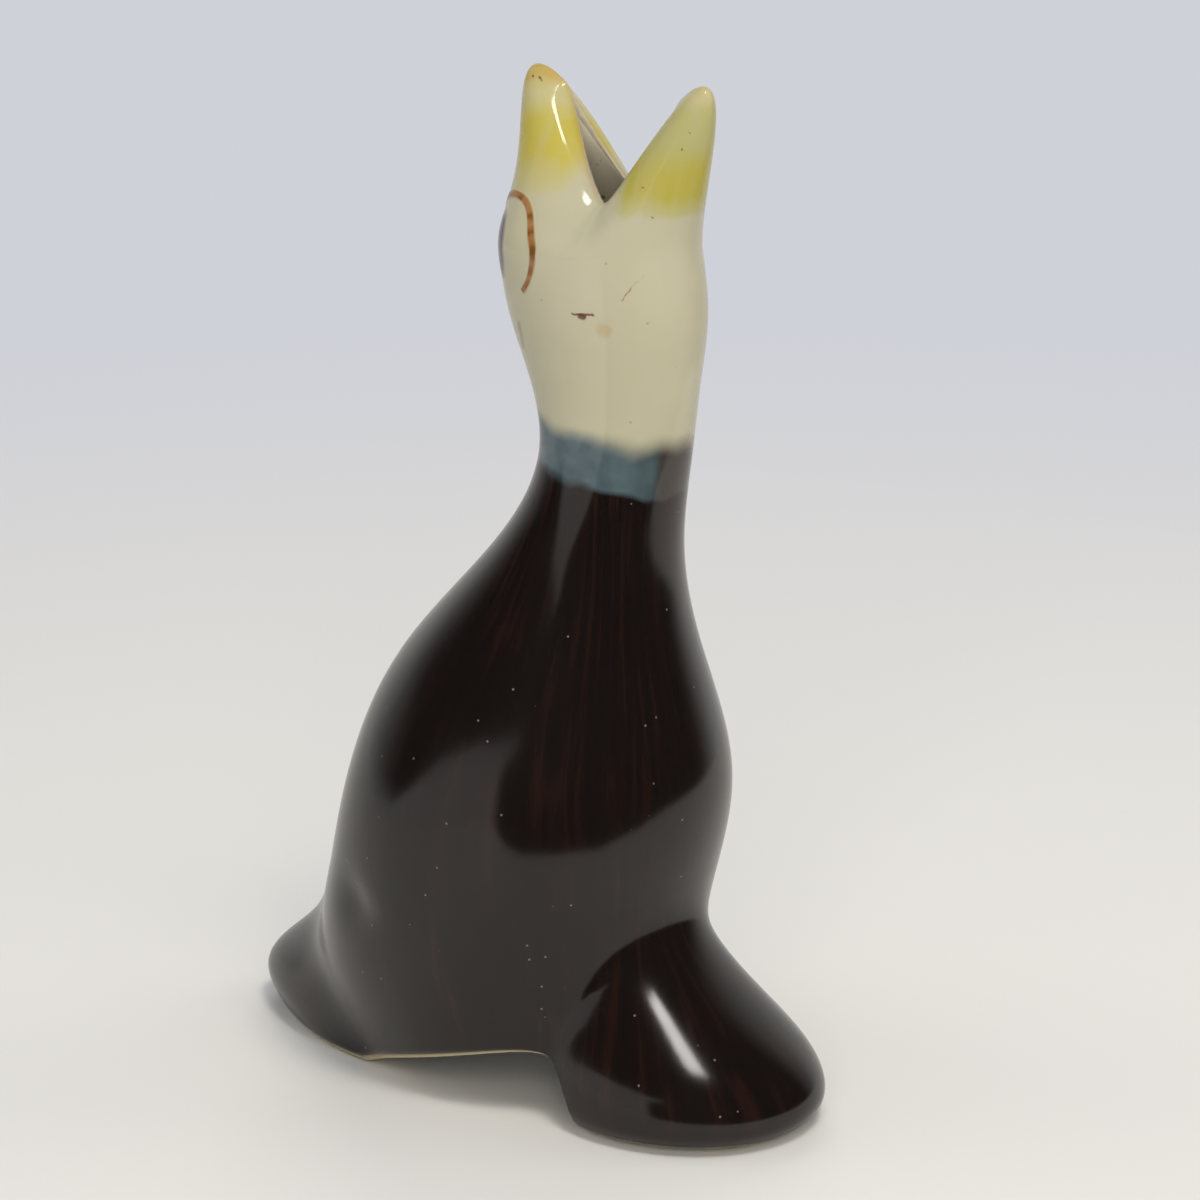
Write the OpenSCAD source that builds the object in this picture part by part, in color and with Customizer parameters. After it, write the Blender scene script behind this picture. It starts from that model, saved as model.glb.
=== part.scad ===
// Pie bird: a hollow earthenware funnel in the shape of a bird with its bill open to the sky.
// Steam comes in under the arches beside the foot and leaves through the bill.
// Every level of the bird is measured outwards from one upright line, the spine, which runs
// through the corners of the mouth: "front" is the reach towards the chest, "back" the reach
// towards the tail and "half" the half breadth. The bird faces +X and stands on Z = 0.

/* [Seat, where the body meets the table] */
// Reach of the body in front of the spine
seat_front = 5.5; // [4.5:0.5:8]
// Reach of the body behind the spine
seat_back = 31.5; // [29:0.5:34]
// Half breadth of the body
seat_half = 14.5; // [13:0.5:16]

/* [Hip] */
// Height of the hip
hip_z = 10; // [8:0.5:13]
// Reach in front
hip_front = 5.5; // [4.5:0.1:8]
// Reach behind
hip_back = 36.4; // [34:0.1:38]
// Half breadth
hip_half = 17.6; // [16:0.1:19]

/* [Belly] */
// Height of the belly
belly_z = 21; // [18:0.5:25]
// Reach in front
belly_front = 7.3; // [6:0.1:9]
// Reach behind
belly_back = 35; // [33:0.1:37]
// Half breadth
belly_half = 20; // [18:0.1:22]

/* [Chest] */
// Height of the fullest part of the chest
chest_z = 34; // [30:0.5:38]
// Reach in front
chest_front = 9.7; // [8:0.1:12]
// Reach behind
chest_back = 31.6; // [29:0.1:34]
// Half breadth
chest_half = 20; // [18:0.1:22]

/* [Shoulder] */
// Height of the shoulder
shoulder_z = 48; // [44:0.5:52]
// Reach in front
shoulder_front = 6.5; // [5.5:0.1:8]
// Reach behind
shoulder_back = 24.6; // [22:0.1:27]
// Half breadth
shoulder_half = 15.4; // [14:0.1:17]

/* [Nape] */
// Height of the nape
nape_z = 60; // [57:0.5:62]
// Reach in front
nape_front = 5.6; // [5:0.1:7]
// Reach behind
nape_back = 14; // [12:0.1:16]
// Half breadth
nape_half = 9.7; // [8.5:0.1:11]

/* [Neck] */
// Height of the narrowest part of the neck
neck_z = 70; // [67:0.5:73]
// Reach in front
neck_front = 7.2; // [6.5:0.1:8]
// Reach behind
neck_back = 9; // [8:0.1:10]
// Half breadth
neck_half = 7.6; // [7:0.1:8.5]

/* [Throat] */
// Height of the throat
throat_z = 78; // [76:0.5:80]
// Reach in front
throat_front = 8.4; // [7.5:0.1:9.5]
// Reach behind
throat_back = 10.6; // [9.5:0.1:12]
// Half breadth
throat_half = 7.8; // [7:0.1:9]

/* [Cheek] */
// Height of the cheek
cheek_z = 85; // [83:0.5:87]
// Reach in front
cheek_front = 9.2; // [8:0.1:10.5]
// Reach behind
cheek_back = 13.1; // [12:0.1:14.5]
// Half breadth
cheek_half = 8.4; // [7.5:0.1:9.5]

/* [Brow, where the bill begins] */
// Height of the brow
brow_z = 91; // [90:0.5:92]
// Reach in front
brow_front = 8.4; // [7.5:0.1:9.5]
// Reach behind
brow_back = 12.7; // [12:0.1:14]
// Half breadth
brow_half = 8.4; // [7.5:0.1:9.5]

/* [Foot, the round swelling under the chest] */
// Reach of the foot on the table
foot_sole = 21.7; // [19:0.1:23]
// Reach of the foot at its widest edge
foot_edge = 23.7; // [21:0.1:27]
// Height of the widest edge
foot_edge_z = 4; // [3:0.5:5]
// Reach half way up the slope
foot_slope = 17; // [15:0.1:19]
// Height half way up the slope
foot_slope_z = 11; // [9.5:0.5:12.5]
// Reach at the instep, under the chest
foot_instep = 9; // [8:0.1:10]
// Height of the instep
foot_instep_z = 18; // [16:0.5:20]
// Half breadth of the foot on the table
foot_sole_half = 12.4; // [11:0.1:14]
// Half breadth of the foot at its widest edge
foot_edge_half = 14; // [12.5:0.1:15.5]
// Half breadth at the instep
foot_instep_half = 9.5; // [8.5:0.1:10.5]

/* [Tail, the wedge behind] */
// Reach of the tail on the table
tail_sole = 46.8; // [44:0.1:49]
// Reach of the tip of the tail
tail_tip = 49.5; // [47:0.1:52]
// Height of the tip
tail_tip_z = 3.5; // [2.5:0.5:5]
// Reach half way up the ridge
tail_ridge = 41.3; // [40:0.1:43]
// Height half way up the ridge
tail_ridge_z = 12; // [10:0.5:14]
// Half breadth of the wedge at its root
tail_half = 14; // [12:0.1:15]
// Angle of each side of the wedge from its middle
tail_angle = 24; // [20:1:28]
// Length of the tip that is solid clay
tail_solid = 6; // [3:0.5:9]

/* [Arch, the steam inlet on each side] */
// Height where the two ramps of the arch meet, before its crown is rounded
arch_rise = 8.8; // [6.5:0.1:10]
// Distance behind the spine where the arch leaves the table
arch_rear = 28.8; // [27:0.1:31]
// Distance behind the spine of its highest part
arch_crown = 0.2; // [0:0.1:2]
// Distance in front of the spine where it comes down on the foot
arch_fore = 4.4; // [3.5:0.1:5]

/* [Bill] */
// Height of the corners of the mouth over the brow
mouth_rise = 5; // [4:0.1:6.5]
// Half breadth between the corners of the mouth
mouth_half = 4; // [3.4:0.1:4.5]
// Height over the brow where the lips meet at the tip of the upper bill
upper_tip_rise = 16.9; // [13:0.1:20]
// Distance of that tip behind the spine
upper_tip_x = 8; // [7.5:0.1:9]
// How far the upper bill narrows half way up
upper_waist = 1.1; // [0:0.1:1.4]
// Height over the brow where the lips meet at the tip of the lower bill
lower_tip_rise = 16.6; // [13:0.1:20]
// Distance of that tip in front of the spine
lower_tip_x = 8; // [7.5:0.1:9]

/* [Eyes] */
// Height of the middle of the eye over the brow
eye_rise = 0.4; // [-0.5:0.1:1]
// Angle of the eye from the front, round the spine
eye_angle = 142; // [136:1:146]
// How far the eye swells out of the head
eye_swell = 1.6; // [0.8:0.1:2]
// Half breadth of the brushed ring
ring_half = 5.3; // [4.5:0.1:6]
// Half height of the brushed ring
ring_tall = 5.2; // [4.5:0.1:6]
// Width of the brush stroke
ring_stroke = 0.9; // [0.5:0.1:1.4]
// Half breadth of the pupil
pupil_half = 1.8; // [1.2:0.1:2]
// Half height of the pupil
pupil_tall = 3.6; // [2.5:0.1:4]
// Thickness of the brushed colour
paint_t = 0.15; // [0.1:0.05:0.3]

/* [Clay and glaze] */
// Wall of the casting
wall_t = 3; // [2:0.1:3.5]
// Wall of the casting at the lips
lip_t = 0.8; // [0.6:0.1:1.2]
// Thickness of the glaze
glaze_t = 0.35; // [0.2:0.05:0.5]
// Height of the clay wiped bare round the rim
bare_h = 0.8; // [0.4:0.1:1.5]
// Height of the lower edge of the collar, at the side
collar_low = 67.5; // [65:0.1:69]
// Breadth of the collar's band
collar_h = 5.6; // [4:0.1:8]
// How far the collar dips at the front and rises at the back
collar_tilt = 1.8; // [0:0.1:2.5]

/* [Hidden] */

// Facets: columns round the bird, and rows up each band of glaze
columns = 48;
body_rows = 15;
collar_rows = 2;
head_rows = 6;
bill_rows = 8;
stroke_steps = 22;
pupil_steps = 18;
pupil_rings = 3;

// Columns gather towards the foot and the tail, rows towards the table
column_gather = 10;
row_gather = 1.5;

// Fillets: a lower number blends foot, body and tail more softly
blend = 12;
// Height over which the rows level out above the arch
arch_fade = 24;
// Height of the ring along which the arch is measured
arch_level = 4;
// Roundness of the arch where it leaves the table, and of its crown
arch_ease = 0.08;
arch_corner = 3;
// Bow of its rear ramp: 1 is straight
arch_bow = 0.75;

// The foot's slope ends inside the chest, and the tail's ridge inside the back
foot_top = [6.3, 25];
foot_heel = 8;
foot_slope_half = 11.5;
tail_root = 3;
// The oval that bounds the wedge's breadth runs on past its tip
tail_overrun = 60;
// Roundness of the wedge's tip, and of the corners where its sides meet the oval
tail_round = 0.135;
tail_corner = 6;
// The tip draws in further than the sides under each coat
tail_inset = 1.5;
tail_upper = [37.2, 18];
tail_top = [31, 25];

// Bill: how the lips gather towards the tips, and how both ends of a lip are rounded
lip_gather = 1.3;
mouth_round = 0.1;
tip_round = 0.16;
// The tips draw in and down under each coat
tip_inset = 1.2;
tip_drop = 2.8;
// How the skin turns in to the lips: outward pull, drop and lift off the brow, at the corners and the tips
corner_pull = 2.5;
corner_rise = 2;
upper_turn = [28, 16.4, 1];
lower_turn = [21.5, 15.4, 0.6];
trough_turn = [2.5, -8, 1];
// Height over which the slope at the brow is taken
slope_step = 0.2;

// Eye: height of the swelling's middle over the eye's, and its spread
swell_rise = 1.1;
eye_spread = 5.8;
// Angle where the stroke begins, and its sweep over the top of the eye
ring_from = -53;
ring_sweep = 240;
// Angle of the pupil behind the middle of the eye
pupil_shift = 5;
// Gap that keeps the brushed colour clear of the glaze's facets
paint_gap = 0.04;
// Share of the bill's skin that lies under the top of the eye, and the halvings that find a height on it
eye_share = 0.8;
level_halvings = 14;

// Heights on the head, from the table
mouth_z = brow_z + mouth_rise;
upper_tip_z = brow_z + upper_tip_rise;
lower_tip_z = brow_z + lower_tip_rise;
eye_z = brow_z + eye_rise;

// The rows tilt with the collar and level out above and below it
collar_top = collar_low + collar_h;
collar_mid = collar_low + collar_h / 2;
collar_spread = 8;

// The box of the bird is centred on the origin
spine_x = (tail_tip - foot_edge) / 2;

// Natural cubic spline through stations: heights, values and the bend at each station
function sweep(z, v, i = 1, c = [0], d = [0]) =
    i == len(z) - 1 ? [c, d] :
    let (h0 = z[i] - z[i - 1],
         h1 = z[i + 1] - z[i],
         kink = 6 * ((v[i + 1] - v[i]) / h1 - (v[i] - v[i - 1]) / h0),
         m = 2 * (h0 + h1) - h0 * c[i - 1])
    sweep(z, v, i + 1, concat(c, [h1 / m]), concat(d, [(kink - h0 * d[i - 1]) / m]));

function back_fill(c, d, i, done) =
    i == 0 ? concat([0], done) : back_fill(c, d, i - 1, concat([d[i] - c[i] * done[0]], done));

function curve(z, v) =
    let (cd = sweep(z, v))
    [z, v, back_fill(cd[0], cd[1], len(z) - 2, [0])];

function segment(z, at, i = 0) = i >= len(z) - 2 || at <= z[i + 1] ? i : segment(z, at, i + 1);

function value(c, at) =
    let (i = segment(c[0], at),
         h = c[0][i + 1] - c[0][i],
         a = c[0][i + 1] - at,
         b = at - c[0][i])
    (c[2][i] * pow(a, 3) + c[2][i + 1] * pow(b, 3)) / (6 * h)
    + (c[1][i] / h - c[2][i] * h / 6) * a
    + (c[1][i + 1] / h - c[2][i + 1] * h / 6) * b;

levels = [0, hip_z, belly_z, chest_z, shoulder_z, nape_z, neck_z, throat_z, cheek_z, brow_z];
front_line = curve(levels, [seat_front, hip_front, belly_front, chest_front, shoulder_front,
                            nape_front, neck_front, throat_front, cheek_front, brow_front]);
back_line = curve(levels, [seat_back, hip_back, belly_back, chest_back, shoulder_back,
                           nape_back, neck_back, throat_back, cheek_back, brow_back]);
half_line = curve(levels, [seat_half, hip_half, belly_half, chest_half, shoulder_half,
                           nape_half, neck_half, throat_half, cheek_half, brow_half]);

foot_levels = [0, foot_edge_z, foot_slope_z, foot_instep_z, foot_top[1]];
foot_line = curve(foot_levels, [foot_sole, foot_edge, foot_slope, foot_instep, foot_top[0]]);
foot_half_line = curve(foot_levels, [foot_sole_half, foot_edge_half, foot_slope_half,
                                     foot_instep_half, foot_instep_half]);
tail_line = curve([0, tail_tip_z, tail_ridge_z, tail_upper[1], tail_top[1]],
                  [tail_sole, tail_tip, tail_ridge, tail_upper[0], tail_top[0]]);

// Distance from the spine to an oval, along the angle a
function oval(front, back, half, a) =
    let (long = (front + back) / 2,
         off = (front - back) / 2,
         u = cos(a) / long,
         v = sin(a) / half,
         p = u * u + v * v,
         q = off * u / long)
    (q + sqrt(q * q + p * (1 - pow(off / long, 2)))) / p;

// Distance from the spine to the tail's wedge: straight sides that meet in a rounded tip
function wedge(tip, half, a) =
    let (slant = 1 / tan(tail_angle),
         side = max(0, slant * norm([sin(a), tail_round]) - cos(a)) / (tip * (1 + slant * tail_round)),
         bound = 1 / oval(tail_root, tip + tail_overrun, half, a))
    pow(pow(side, tail_corner) + pow(bound, tail_corner), -1 / tail_corner);

// Swelling of the eye at angle a and height z
function swell(a, z) =
    let (turn = (abs(a) - eye_angle) * brow_back * PI / 180)
    eye_swell * exp(-(turn * turn + pow(z - eye_z - swell_rise, 2)) / pow(eye_spread, 2));

// Reach of the skin at angle a and height z, set in by "inset"; the hollow stops short of the tail's tip
function reach(a, z, inset, hollow = false) =
    let (body = oval(value(front_line, z) - inset, value(back_line, z) - inset,
                     value(half_line, z) - inset, a),
         foot = z >= foot_top[1] ? 0 :
             oval(value(foot_line, z) - inset, foot_heel - inset, value(foot_half_line, z) - inset, a),
         tail = z >= tail_top[1] ? 0 :
             wedge(value(tail_line, z) - tail_inset * inset - (hollow ? tail_solid : 0),
                   tail_half - inset, a))
    pow(pow(body, blend) + pow(foot, blend) + pow(tail, blend), 1 / blend);

// Height of the rim over the table: a long ramp up from the tail and a short one down to the foot
function ease(t) = t <= 0 ? 0 : t * t / (t + arch_ease);

function rim(a) =
    let (x = reach(a, arch_level, 0) * cos(a),
         rear = pow(ease((x + arch_rear) / (arch_rear - arch_crown)), arch_bow),
         fore = ease((arch_fore - x) / (arch_fore + arch_crown)))
    rear * fore == 0 ? 0 :
    arch_rise * rear * fore / pow(pow(rear, arch_corner) + pow(fore, arch_corner), 1 / arch_corner);

// Lip of the bill at angle a: straight from the corner of the mouth to the tip, with both ends rounded
function lip(a, inset) =
    let (t = pow(abs(cos(a)), lip_gather),
         tip = cos(a) > 0 ? [lower_tip_x - tip_inset * inset, lower_tip_z - tip_drop * inset]
                          : [tip_inset * inset - upper_tip_x, upper_tip_z - tip_drop * inset],
         climb = (norm([t, mouth_round]) - mouth_round) / (norm([1, mouth_round]) - mouth_round),
         narrow = (1 - tip_round) * (1 - t) + tip_round * sqrt(max(0, 1 - t * t)))
    [tip[0] * t, sign(sin(a)) * (mouth_half - inset) * narrow, mouth_z + (tip[1] - mouth_z) * climb];

// Skin of the bill: a cubic from the brow, u = 0, to the lip, u = 1; the hollow is a plain trough
function bill(a, u, inset, hollow = false) =
    let (r0 = reach(a, brow_z, inset),
         slope = (r0 - reach(a, brow_z - slope_step, inset)) / slope_step,
         turn = hollow ? trough_turn : cos(a) > 0 ? lower_turn : upper_turn,
         t = pow(abs(cos(a)), 2 * lip_gather),
         pull = corner_pull + (turn[0] - corner_pull) * t,
         end = lip(a, inset),
         rise = (end[2] - brow_z) * (1 + (turn[2] - 1) * t),
         start = [r0 * cos(a), r0 * sin(a), brow_z],
         leave = [slope * cos(a), slope * sin(a), 1] * rise,
         arrive = [-pull * cos(a) * abs(cos(a)), -pull * sin(a),
                   corner_rise - (turn[1] + corner_rise) * t],
         waist = hollow || cos(a) > 0 ? 0 : upper_waist * cos(a) * pow(4 * u * (1 - u), 2))
    (2 * pow(u, 3) - 3 * u * u + 1) * start + (pow(u, 3) - 2 * u * u + u) * leave
    + (3 * u * u - 2 * pow(u, 3)) * end + (pow(u, 3) - u * u) * arrive
    + waist * [cos(a), sin(a), 0];

// Point of the skin at angle a and level w: heights up to the brow, then on to the lip at brow_z + 1
function skin(a, w, inset, hollow = false) =
    let (tilt = collar_tilt * cos(a) * exp(-pow((w - collar_mid) / collar_spread, 2)),
         z = w + rim(a) * max(0, 1 - w / arch_fade) - tilt,
         r = reach(a, z, inset, hollow),
         p = w > brow_z ? bill(a, w - brow_z, inset, hollow) : [r * cos(a), r * sin(a), z],
         out = swell(a, p[2]))
    p + [spine_x + out * cos(a), out * sin(a), 0];

// Levels of the rows, band by band
function band(low, high, count, power = 1) =
    [for (i = [1 : count]) low + (high - low) * pow(i / count, power)];

row_levels = concat([0, bare_h], band(bare_h, collar_low, body_rows, row_gather),
                    band(collar_low, collar_top, collar_rows), band(collar_top, brow_z, head_rows),
                    band(brow_z, brow_z + 1, bill_rows));
body_first = 1;
collar_first = body_first + body_rows;
head_first = collar_first + collar_rows;
bill_first = head_first + head_rows;
last_row = bill_first + bill_rows;

column_step = 360 / columns;
function column_angle(i) =
    let (t = i * column_step - 180)
    t - column_gather * sin(2 * t);

// The yellow of each bill starts some rows above the brow and stops short of the corners of the mouth
upper_bill_row = bill_first + 3;
lower_bill_row = bill_first + 2;
upper_bill_angle = 112;
lower_bill_angle = 66;
function in_bills(r, a) =
    r >= upper_bill_row && a > upper_bill_angle ? 1 :
    r >= lower_bill_row && a < lower_bill_angle ? 2 : 0;

// Coat that covers the cell above row r and beside column i: 0 bare clay, then glazes by number
function coat(r, i) =
    let (a = abs((column_angle(i) + column_angle(i + 1)) / 2))
    r < body_first ? 0 :
    r < collar_first ? 1 :
    r < head_first ? 2 : 3 + in_bills(r, a);

// Shell between two skins, over the cells whose coat is wanted (all cells when wanted is -1)
module shell(outside, inside, wanted) {
    rows = last_row + 1;
    side = rows * columns;
    function wall(w) = w <= brow_z ? 0 : (lip_t - wall_t) * (w - brow_z);
    function layer(inset, hollow) =
        [for (w = row_levels, i = [0 : columns - 1])
            skin(column_angle(i), w, inset + (hollow ? wall(w) : 0), hollow)];
    function has(r, i) =
        r >= 0 && r < last_row && (wanted < 0 || coat(r, (i + columns) % columns) == wanted);
    function at(r, i, k) = k * side + r * columns + (i + columns) % columns;
    function quad(a, b, c, d) = [[a, b, c], [a, c, d]];
    function cell(r, i) = concat(
        quad(at(r, i, 0), at(r + 1, i, 0), at(r + 1, i + 1, 0), at(r, i + 1, 0)),
        quad(at(r, i, 1), at(r, i + 1, 1), at(r + 1, i + 1, 1), at(r + 1, i, 1)),
        has(r - 1, i) ? [] : quad(at(r, i, 0), at(r, i + 1, 0), at(r, i + 1, 1), at(r, i, 1)),
        has(r + 1, i) ? [] :
            quad(at(r + 1, i, 0), at(r + 1, i, 1), at(r + 1, i + 1, 1), at(r + 1, i + 1, 0)),
        has(r, i - 1) ? [] : quad(at(r, i, 0), at(r, i, 1), at(r + 1, i, 1), at(r + 1, i, 0)),
        has(r, i + 1) ? [] :
            quad(at(r, i + 1, 0), at(r + 1, i + 1, 0), at(r + 1, i + 1, 1), at(r, i + 1, 1)));
    polyhedron(
        points = concat(layer(outside, false), layer(inside, wanted < 0)),
        faces = [for (r = [0 : last_row - 1], i = [0 : columns - 1]) if (has(r, i))
                     for (f = cell(r, i)) f]);
}

// Level of the bill's skin that stands at height z, found by halving
function bill_level(a, z, low = 0, high = eye_share, halvings = level_halvings) =
    let (mid = (low + high) / 2)
    halvings == 0 ? brow_z + mid :
    bill(a, mid, 0)[2] < z ? bill_level(a, z, mid, high, halvings - 1)
                           : bill_level(a, z, low, mid, halvings - 1);

// Point on the right eye, at a breadth and a height from its middle, lifted off the glaze
function eye_point(breadth, height, lift, shift = 0) =
    let (z = eye_z + height,
         a = -(eye_angle + shift + breadth / brow_back * 180 / PI))
    skin(a, z > brow_z ? bill_level(a, z) : z, -lift);

// Ring of the eye: one open stroke of the brush, from the front of the eye over the top
module eye_ring() {
    function rib(i) =
        let (b = ring_from + ring_sweep * i / stroke_steps,
             x = -cos(b),
             y = sin(b),
             n = ring_stroke / 2)
        [eye_point((ring_half - n) * x, (ring_tall - n) * y, paint_gap),
         eye_point((ring_half + n) * x, (ring_tall + n) * y, paint_gap),
         eye_point((ring_half + n) * x, (ring_tall + n) * y, paint_gap + paint_t),
         eye_point((ring_half - n) * x, (ring_tall - n) * y, paint_gap + paint_t)];
    last = 4 * stroke_steps;
    polyhedron(
        points = [for (i = [0 : stroke_steps]) each rib(i)],
        faces = concat(
            [[0, 2, 1], [0, 3, 2], [last, last + 1, last + 2], [last, last + 2, last + 3]],
            [for (i = [0 : stroke_steps - 1], k = [0 : 3])
                let (p = 4 * i + k, q = 4 * i + (k + 1) % 4)
                each [[p, q, q + 4], [p, q + 4, p + 4]]]));
}

// Pupil: an upright oval dab inside the ring
module pupil() {
    function spot(j, i, lift) =
        let (b = 360 * i / pupil_steps, k = j / pupil_rings)
        eye_point(k * pupil_half * cos(b), k * pupil_tall * sin(b), lift, pupil_shift);
    n = pupil_steps;
    side = 1 + pupil_rings * n;
    function at(j, i, k) = k * side + 1 + (j - 1) * n + i % n;
    polyhedron(
        points = [for (lift = [paint_gap, paint_gap + paint_t])
                      each concat([spot(0, 0, lift)],
                                  [for (j = [1 : pupil_rings], i = [0 : n - 1]) spot(j, i, lift)])],
        faces = concat(
            [for (i = [0 : n - 1]) each [[0, at(1, i + 1, 0), at(1, i, 0)],
                                         [side, at(1, i, 1), at(1, i + 1, 1)]]],
            [for (j = [1 : pupil_rings - 1], i = [0 : n - 1])
                each [[at(j, i, 0), at(j, i + 1, 0), at(j + 1, i + 1, 0)],
                      [at(j, i, 0), at(j + 1, i + 1, 0), at(j + 1, i, 0)],
                      [at(j, i, 1), at(j + 1, i + 1, 1), at(j, i + 1, 1)],
                      [at(j, i, 1), at(j + 1, i, 1), at(j + 1, i + 1, 1)]]],
            [for (i = [0 : n - 1]) let (j = pupil_rings)
                each [[at(j, i, 0), at(j, i + 1, 0), at(j, i + 1, 1)],
                      [at(j, i, 0), at(j, i + 1, 1), at(j, i, 1)]]]));
}

// The biscuit casting: one hollow shell, open under the body and at the bill
module clay_casting() {
    color("#d9cfb4") shell(glaze_t, glaze_t + wall_t, -1);
}

// Dark brown glaze from the bare rim to the collar
module body_glaze() {
    color("#2a1d18") shell(0, glaze_t, 1);
}

// Blue-grey band round the neck
module collar_glaze() {
    color("#5a6f7a") shell(0, glaze_t, 2);
}

// Cream glaze of the head, up to the corners of the mouth
module head_glaze() {
    color("#d8ceae") shell(0, glaze_t, 3);
}

// Yellow glaze of the upper bill, which points up at the back
module upper_bill_glaze() {
    color("#d8c34a") shell(0, glaze_t, 4);
}

// Yellow glaze of the lower bill, which points up at the front
module lower_bill_glaze() {
    color("#cdbf55") shell(0, glaze_t, 5);
}

// Brown strokes round the eyes
module right_eye_ring() {
    color("#8a5a2a") eye_ring();
}

module left_eye_ring() {
    color("#8a5a2a") mirror([0, 1, 0]) eye_ring();
}

// Purple-grey pupils
module right_pupil() {
    color("#6a5f70") pupil();
}

module left_pupil() {
    color("#6a5f70") mirror([0, 1, 0]) pupil();
}

clay_casting();
body_glaze();
collar_glaze();
head_glaze();
upper_bill_glaze();
lower_bill_glaze();
right_eye_ring();
left_eye_ring();
right_pupil();
left_pupil();
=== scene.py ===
import bpy
import numpy as np
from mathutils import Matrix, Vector


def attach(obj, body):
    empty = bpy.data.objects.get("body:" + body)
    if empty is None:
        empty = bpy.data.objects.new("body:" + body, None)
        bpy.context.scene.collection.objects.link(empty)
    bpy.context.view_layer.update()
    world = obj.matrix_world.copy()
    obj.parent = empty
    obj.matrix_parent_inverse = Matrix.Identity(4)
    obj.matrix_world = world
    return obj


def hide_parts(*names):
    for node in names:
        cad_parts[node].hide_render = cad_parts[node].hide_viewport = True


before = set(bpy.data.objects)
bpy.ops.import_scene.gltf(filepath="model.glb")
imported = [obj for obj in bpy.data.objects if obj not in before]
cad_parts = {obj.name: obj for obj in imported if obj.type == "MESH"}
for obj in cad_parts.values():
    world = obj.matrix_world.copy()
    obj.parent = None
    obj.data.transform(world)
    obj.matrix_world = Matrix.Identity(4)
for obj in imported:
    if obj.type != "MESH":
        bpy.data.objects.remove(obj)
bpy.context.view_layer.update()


# Biscuit casting.
# The bird itself is one hollow shell of slip-cast earthenware, open below and at the bill. It was poured
# in a two-part mould and fired once, and its bare clay shows at the wiped rim and inside the bill.
# Sizes are in millimetres, outwards from the spine, an upright line through the corners of the mouth.
glaze_t = 0.35
wall_t = 3.0
lip_t = 0.8
wiped_h = 0.5
foot_reach, foot_back = 23.7, 8.0
tail_reach, tail_half, tail_slant, tail_round = 49.5, 14.0, np.radians(24), 0.135
root_z = 25.0
arch_h, arch_fade = 8.8, 24.0
arch_rear, rear_ramp = -28.8, 28.6
arch_fore, fore_ramp = 4.4, 4.6
dent_depth, dent_r = 0.8, 3.5
dent_angle, dent_z, dent_reach = np.radians(140), 20.8, 28.5
collar_low, collar_top, collar_tilt = 67.5, 73.1, 1.8
brow_z, brow_back = 91.0, 12.7
eye_angle = np.radians(142)
swell_z, swell_h, swell_r = 92.5, 1.6, 5.8
mouth_z, mouth_half = 96.0, 4.0
tip_x, lower_tip_z, upper_tip_z = 8.0, 107.6, 107.9
tip_inset, tip_drop = 1.2, 2.8
bill_waist = 1.1
spine_x = (tail_reach - foot_reach) / 2


def through(heights, values):
    """Natural cubic spline: a curve through the stations whose bend changes evenly between them."""
    z, v = np.array(heights, float), np.array(values, float)
    h = np.diff(z)
    last = len(z) - 1
    i = np.arange(1, last)
    bends, kinks = np.eye(last + 1), np.zeros(last + 1)
    bends[i, i - 1], bends[i, i], bends[i, i + 1] = h[:-1], 2 * (h[:-1] + h[1:]), h[1:]
    kinks[i] = 6 * np.diff(np.diff(v) / h)
    m = np.linalg.solve(bends, kinks)

    def at(height):
        k = np.clip(np.searchsorted(z, height) - 1, 0, last - 1)
        p, q = z[k + 1] - height, height - z[k]
        return ((m[k] * p**3 + m[k + 1] * q**3) / (6 * h[k]) + (v[k] / h[k] - m[k] * h[k] / 6) * p
                + (v[k + 1] / h[k] - m[k + 1] * h[k] / 6) * q)
    return at


body_heights = [0, 10, 21, 34, 48, 60, 70, 78, 85, brow_z]
chest_line = through(body_heights, [5.5, 5.5, 7.3, 9.7, 6.5, 5.6, 7.2, 8.4, 9.2, 8.4])
back_line = through(body_heights, [31.5, 36.4, 35, 31.6, 24.6, 14, 9, 10.6, 13.1, brow_back])
flank_line = through(body_heights, [14.5, 17.6, 20, 20, 15.4, 9.7, 7.6, 7.8, 8.4, 8.4])
foot_heights = [0, 1.2, 3, 7, 11, 18, root_z]
foot_line = through(foot_heights, [21.7, 23.1, 23.75, 21.6, 17, 9, 6.3])
foot_half_line = through(foot_heights, [12.4, 13.6, 14.05, 13.3, 11.5, 9.5, 9.5])
tail_line = through([0, 3.5, 12, 18, root_z], [46.8, tail_reach, 41.3, 37.2, 31])


def oval(front, back, half, angle):
    """Distance from the spine to an oval, along an angle: the root of the ellipse's own quadratic."""
    middle, long = (front - back) / 2, (front + back) / 2
    u, v = np.cos(angle) / long, np.sin(angle) / half
    p, q = u * u + v * v, middle * u / long
    return (q + np.sqrt(q * q + p * (1 - (middle / long) ** 2))) / p


def wedge(tip, half, angle):
    """Distance from the spine to the tail: two straight sides, slanted from its middle, that meet in a
    rounded tip, joined by a sixth-power sum to the long oval that bounds its breadth."""
    slant = 1 / np.tan(tail_slant)
    spread = slant * np.hypot(np.sin(angle), tail_round) - np.cos(angle)
    side = np.maximum(0, spread) / (tip * (1 + slant * tail_round))
    return (side**6 + oval(3.0, tip + 60, half, angle) ** -6) ** (-1 / 6)


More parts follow.
